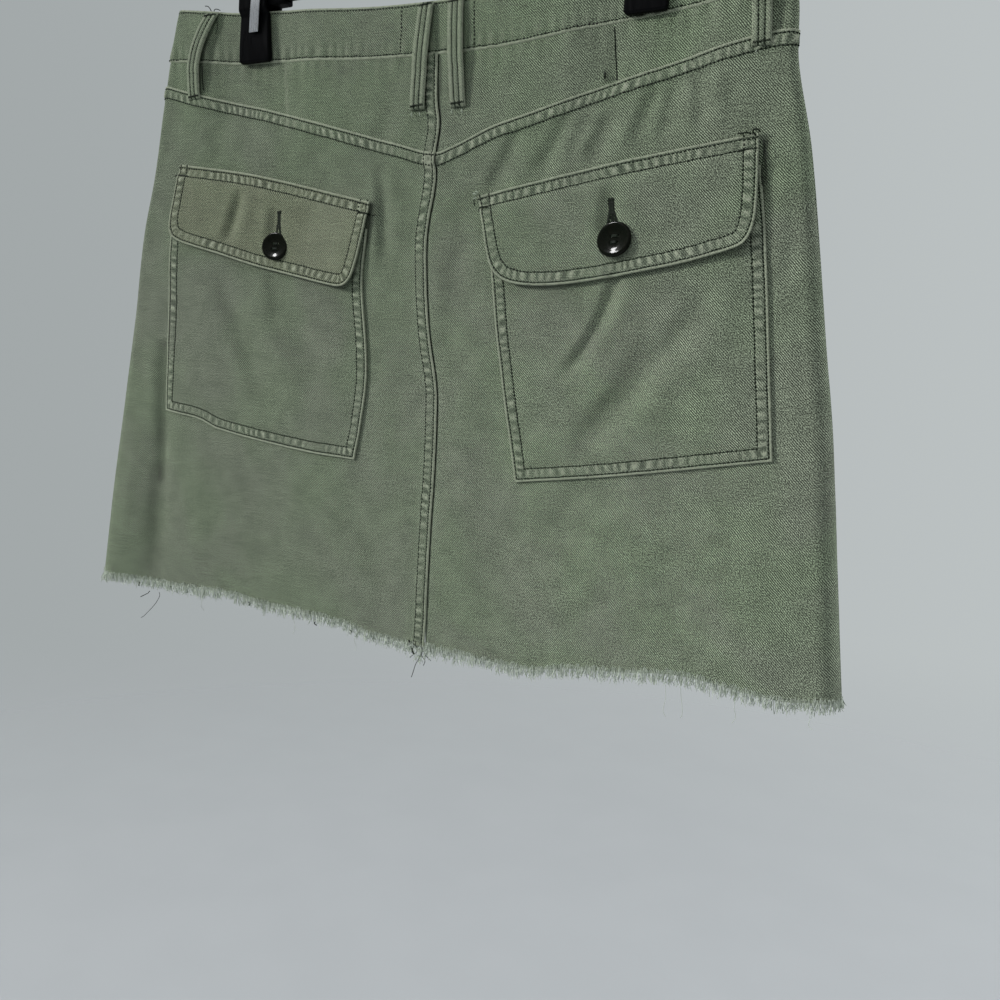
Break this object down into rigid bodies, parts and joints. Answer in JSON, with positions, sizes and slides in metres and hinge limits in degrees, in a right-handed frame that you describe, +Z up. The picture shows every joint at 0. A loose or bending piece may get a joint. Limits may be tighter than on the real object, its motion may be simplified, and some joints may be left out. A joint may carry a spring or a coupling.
{
  "type": "cargo utility skirt on clip hanger",
  "caption": "Short A-line twill skirt hung flat from a clip hanger: V yoke, flapped patch pockets, belt loops, waistband and a raw frayed hem.",
  "frame": {"origin": "inside top of the hanger's hook, where it rests on its rail", "axes": "+Z up, -Y out of the skirt's back, X along the hanger with the wearer's right at +X"},
  "size_m": [0.511, 0.0365, 0.5106],
  "materials": {
    "twill": "washed cotton twill, sage green, worn pale at its seams",
    "twill_faded": "the same twill, faded to khaki",
    "fray": "raw frayed edge, loose pale yarns",
    "horn": "dark brown four-hole button, polished",
    "moulded": "black moulded plastic, satin",
    "steel": "bare spring steel strip"
  },
  "bodies": {
    "root": {"back_left": "twill", "back_right": "twill", "belt_loop_back_left": "twill", "belt_loop_back_right": "twill", "belt_loop_front_left": "twill", "belt_loop_front_right": "twill", "belt_loop_side_left": "twill", "belt_loop_side_right": "twill", "button_left": "horn", "button_right": "horn", "button_waist": "horn", "clip_left_carrier": "moulded", "clip_left_jaw_front": "moulded", "clip_left_jaw_rear": "moulded", "clip_left_spring": "steel", "clip_right_carrier": "moulded", "clip_right_jaw_front": "moulded", "clip_right_jaw_rear": "moulded", "clip_right_spring": "steel", "flap_left": "twill_faded", "flap_right": "twill", "fly_facing": "twill", "front_left": "twill", "front_right": "twill", "hanger_bar": "moulded", "hanger_hook": "moulded", "hem_fray_back_left": "fray", "hem_fray_back_right": "fray", "hem_fray_front_left": "fray", "hem_fray_front_right": "fray", "pocket_left": "twill", "pocket_right": "twill", "waistband_back": "twill", "waistband_front_left": "twill", "waistband_front_right": "twill", "yoke_left": "twill", "yoke_right": "twill"}
  },
  "joints": []
}
